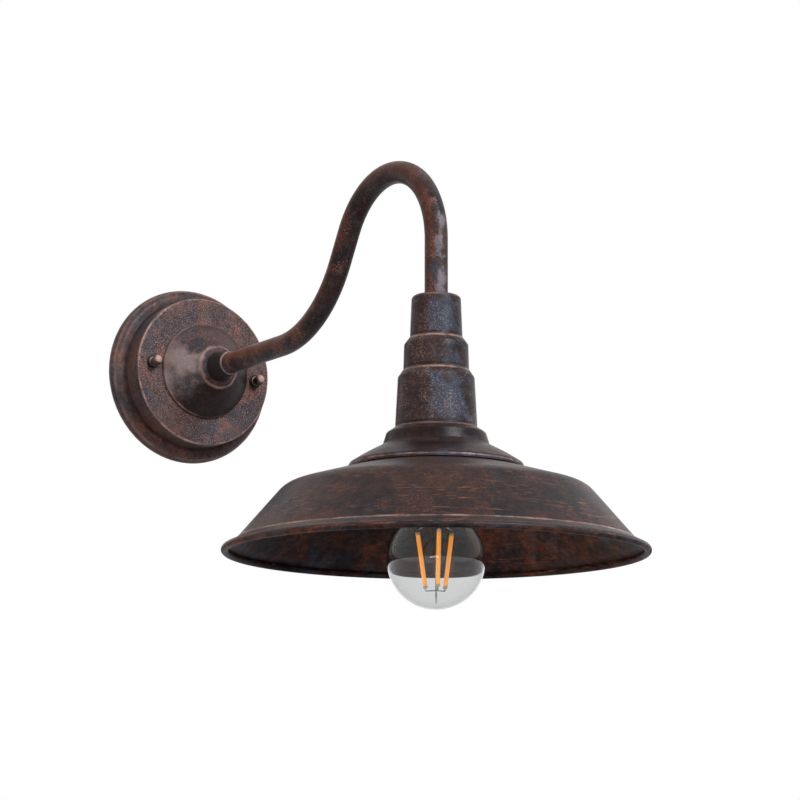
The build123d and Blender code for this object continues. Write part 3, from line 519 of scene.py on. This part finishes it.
def dress_painted():
    """The painted sheet metal, tube and nuts."""
    # tone sets each part's copy of the one paint lighter or darker: partly each part's own tone of paint,
    # partly painted light and shade, lighter on canopy and boss, darker on neck, shade and nuts
    dress(bronze("bronze_canopy", round_wall, 0.9, 11.0, CANOPY_WEAR_AND_HIGHLIGHT, CANOPY_PAINTED_SHADE, streaks=0.4,
                 flecks=0.58, tone=1.5, spread=0.7, slate=0.2, plain_below=28.0), "canopy")
    dress(bronze("bronze_boss", round_wall, 0.9, 5.0, BOSS_WEAR_AND_HIGHLIGHT, BOSS_PAINTED_SHADE, streaks=0.3, warmth=0.4,
                 tone=1.4, light_and_shade_sides=BOSS_LIGHT_AND_SHADE, spread=0.3, slate=0.4), "boss")
    dress(bronze("bronze_arm", round_wall, 0.3, 23.0, flecks=0.45, warmth=1.0, tone=1.1, light_and_shade_sides=ARM_LIGHT_AND_SHADE),
          "arm")
    dress(bronze("bronze_neck", round_head, 0.6, 37.0, NECK_WEAR_AND_HIGHLIGHT, NECK_PAINTED_SHADE, streaks=0.12, flecks=0.42,
                 warmth=0.25, scratches=0.8, tone=0.85, light_and_shade_sides=NECK_SHEEN, plain_below=78.0), "neck_housing")
    dress(bronze("bronze_shade", round_head, -0.8, 51.0, SHADE_WEAR_AND_HIGHLIGHT, SHADE_PAINTED_SHADE, streaks=0.6,
                 flecks=0.12, tone=0.75, slate=0.25, mottled=0.25), "shade")
    dress_inside(bronze("bronze_inside", round_head, -0.8, 77.0, streaks=0.25, flecks=0.05, warmth=0.6,
                        specular=0.02), "shade")
    dress(bronze("bronze_nuts", round_wall, 0.4, 3.0, streaks=0.2, flecks=0.3, specular=0.4, tone=0.5,
                 light_and_shade_sides=NUT_HIGHLIGHT), "left_cap_nut", "right_cap_nut")
    dress(satin_black(), "left_cap_washer", "right_cap_washer", "arm_collar")


def dress_works():
    """The fixings, the lampholder and the wires."""
    dress(metal_part("zinc_steel", srgb(196, 196, 192), srgb(150, 148, 142), 0.34), "mounting_strap",
          "canopy_studs", "stud_nuts", "arm_washer", "arm_nut", "neck_bush", "neck_set_screw")
    dress(metal_part("brass", srgb(206, 170, 98), srgb(160, 122, 62), 0.28), "earth_screw", "earth_lug",
          "arm_end_plug", "head_nipple", "holder_nut", "terminal_screws", "screw_shell", "centre_contact")
    dress(moulded("holder_black", srgb(30, 29, 29), srgb(40, 38, 37), 0.42), "lampholder_cap",
          "lampholder_body", "shade_ring", "wire_grommet", "bulb_insulator")
    dress(moulded("porcelain", srgb(232, 228, 218), srgb(214, 208, 196), 0.22, 0.6), "contact_block")
    dress(moulded("wire_black", srgb(26, 26, 27), srgb(38, 37, 36), 0.45), "live_wire")
    dress(moulded("wire_white", srgb(226, 225, 220), srgb(205, 203, 196), 0.45), "neutral_wire")
    dress(moulded("wire_green", srgb(34, 112, 58), srgb(28, 90, 48), 0.45), "earth_wire")
    dress(moulded("connector_orange", srgb(214, 112, 40), srgb(186, 92, 32), 0.48), "wire_connectors")


def dress_bulb():
    """The bulb, whose glass casts no shadow, so that light reaches the inside of the shade past it."""
    dress(clear_glass("bulb_clear", (0.81, 0.82, 0.815, 1.0)), "bulb_glass")
    dress(clear_glass("stem_clear", (0.95, 0.955, 0.95, 1.0)), "bulb_stem")
    for clear in ("bulb_glass", "bulb_stem"):
        NODES[clear].visible_shadow = False
    dress(metal_part("cap_metal", srgb(206, 204, 198), srgb(176, 172, 164), 0.3), "bulb_cap")
    dress(metal_part("tip_metal", srgb(180, 176, 168), srgb(150, 144, 134), 0.36), "bulb_tip")
    dress(phosphor(), "bulb_filaments")
    dress(metal_part("lead_metal", srgb(190, 188, 184), srgb(150, 148, 144), 0.3), "bulb_leads")


# ---- world, floor, lamps and camera ------------------------------------------------------------------------
def seen_directly(nodes, links):
    """1 where a camera, mirror or glass ray looks at the surface, else 0."""
    rays = nodes.new("ShaderNodeLightPath")
    total = rays.outputs["Is Camera Ray"]
    for name in ("Is Glossy Ray", "Is Transmission Ray"):
        add = nodes.new("ShaderNodeMath")
        add.operation = "MAXIMUM"
        links.new(total, add.inputs[0])
        links.new(rays.outputs[name], add.inputs[1])
        total = add.outputs[0]
    return total


def world():
    """White where it is looked at, and dim as a light."""
    room = bpy.data.worlds.new("studio")
    bpy.context.scene.world = room
    room.use_nodes = True
    nodes, links = room.node_tree.nodes, room.node_tree.links
    background = nodes["Background"]
    strength = nodes.new("ShaderNodeMapRange")
    links.new(seen_directly(nodes, links), strength.inputs["Value"])
    strength.inputs["To Min"].default_value = WORLD_LIGHT
    strength.inputs["To Max"].default_value = WORLD_WHITE
    links.new(strength.outputs[0], background.inputs["Strength"])
    background.inputs["Color"].default_value = WHITE


def floor():
    """Pale floor that keeps the object's shadow and looks nearly white."""
    mesh = bpy.data.meshes.new("floor")
    half = FLOOR_SIZE / 2
    corners = [(x, y, FLOOR_Z) for x, y in ((-half, -half), (half, -half), (half, half), (-half, half))]
    mesh.from_pydata(corners, [], [(0, 1, 2, 3)])
    plane = bpy.data.objects.new("floor", mesh)
    bpy.context.scene.collection.objects.link(plane)
    net = Net("floor_pale")
    cloud = net.pattern("floor", net.place())
    dark, pale = ((tone, tone, tone, 1.0) for tone in FLOOR_TONES)
    net.finish(base_color=net.mix(net.level("grain", cloud), dark, pale), roughness=0.9)
    glow = net.nodes.new("ShaderNodeEmission")
    blend = net.nodes.new("ShaderNodeMixShader")
    net.put(blend.inputs[0], net.times(seen_directly(net.nodes, net.links), FLOOR_WHITE))
    net.put(blend.inputs[1], net.shader.outputs[0])
    net.put(blend.inputs[2], glow.outputs[0])
    net.put(net.nodes["Material Output"].inputs["Surface"], blend.outputs[0])
    mesh.materials.append(net.material)


def lamp(name, place, aim, size, watts, colour):
    """Square soft light that looks at aim."""
    light = bpy.data.lights.new(name, "AREA")
    light.size = size
    light.energy = watts
    light.color = colour
    holder = bpy.data.objects.new(name, light)
    bpy.context.scene.collection.objects.link(holder)
    holder.visible_camera = False
    holder.location = place
    holder.rotation_euler = (Vector(aim) - Vector(place)).to_track_quat("-Z", "Y").to_euler()
    return holder


def beam(name, spread, mirrored, **settings):
    """Narrow light that is never seen through glass, and in gloss only where it is mirrored."""
    holder = lamp(name, **settings)
    holder.data.spread = radians(spread)
    holder.visible_glossy = mirrored
    holder.visible_transmission = False


def lights():
    """Soft lamps round the object, one beam up into the open shade and one on the canopy."""
    for name, settings in LAMPS.items():
        lamp(name, **settings)
    for name, settings in BEAMS.items():
        beam(name, **settings)


def camera():
    level_run = cos(CAMERA_PITCH)
    ahead = Vector((sin(CAMERA_YAW) * level_run, cos(CAMERA_YAW) * level_run, sin(CAMERA_PITCH)))
    level = ahead.cross(Vector((0, 0, 1))).normalized()
    upright = level.cross(ahead)
    right = level * cos(CAMERA_ROLL) + upright * sin(CAMERA_ROLL)
    up = upright * cos(CAMERA_ROLL) - level * sin(CAMERA_ROLL)
    data = bpy.data.cameras.new("camera")
    data.lens = CAMERA_LENS
    data.sensor_width = SENSOR
    eye = bpy.data.objects.new("camera", data)
    bpy.context.scene.collection.objects.link(eye)
    eye.matrix_world = Matrix.Translation(CAMERA_PLACE) @ Matrix((right, up, -ahead)).transposed().to_4x4()
    bpy.context.scene.camera = eye


bpy.context.scene.view_settings.view_transform = "Standard"
dress_painted()
dress_works()
dress_bulb()
world()
floor()
lights()
camera()
